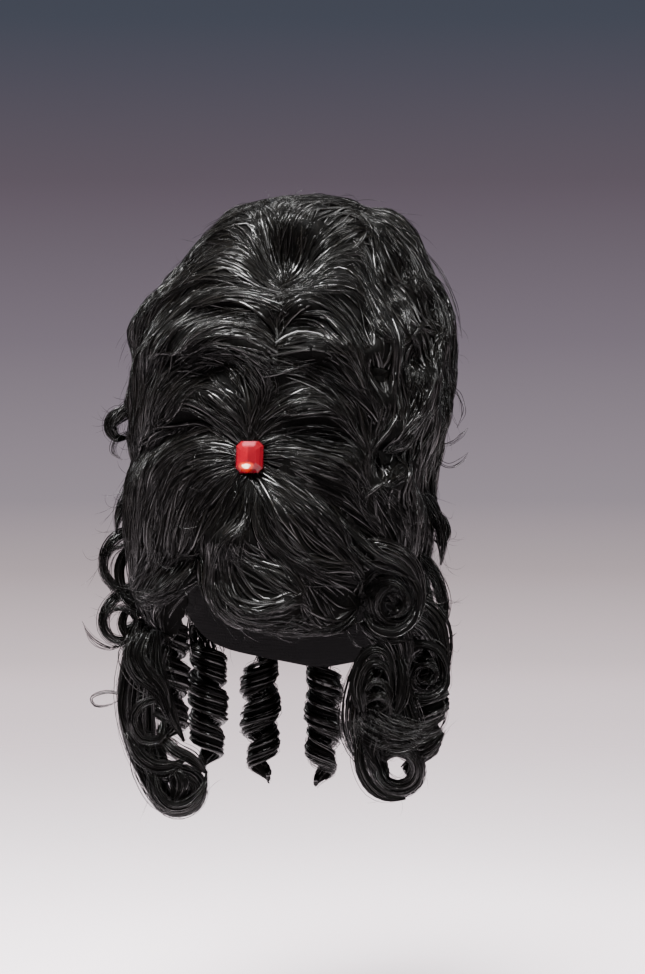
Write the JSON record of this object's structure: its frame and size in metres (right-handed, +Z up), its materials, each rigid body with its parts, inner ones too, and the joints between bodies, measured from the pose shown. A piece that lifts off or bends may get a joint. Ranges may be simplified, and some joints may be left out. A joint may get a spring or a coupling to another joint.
{
  "type": "beehive wig",
  "caption": "Tall black beehive wig on a hollow stretch cap, with waved front tiers, a swept fringe, coiled side curls, nape ringlets and a red cut stone.",
  "frame": {"origin": "inside of the cap at the crown of the head", "axes": "+Z up, -Y to the front of the wearer, +X to the wearer's left"},
  "size_m": [0.2358, 0.2524, 0.4073],
  "materials": {
    "hair": "glossy black synthetic hair fibre",
    "cap": "black stretch net",
    "stone": "clear red step-cut acrylic",
    "pin": "plain steel"
  },
  "bodies": {
    "root": {"cap": "cap", "beehive": "hair", "fringe": "hair", "sweep_right": "hair", "sweep_left": "hair", "coil_left_temple": "hair", "loop_left_back": "hair", "coil_left_outer": "hair", "coil_left_cheek": "hair", "ring_left_low": "hair", "loop_right_upper": "hair", "loop_right_lower": "hair", "ring_right_low": "hair", "flick_left": "hair", "tuft_left": "hair", "tuft_right": "hair", "tuft_right_upper": "hair", "ringlet_right_side": "hair", "ringlet_right_back": "hair", "ringlet_left_back": "hair", "ringlet_nape_1": "hair", "ringlet_nape_2": "hair", "ringlet_nape_3": "hair", "ringlet_nape_4": "hair", "ringlet_nape_5": "hair", "stone": "stone", "stone_pin": "pin"}
  },
  "joints": []
}
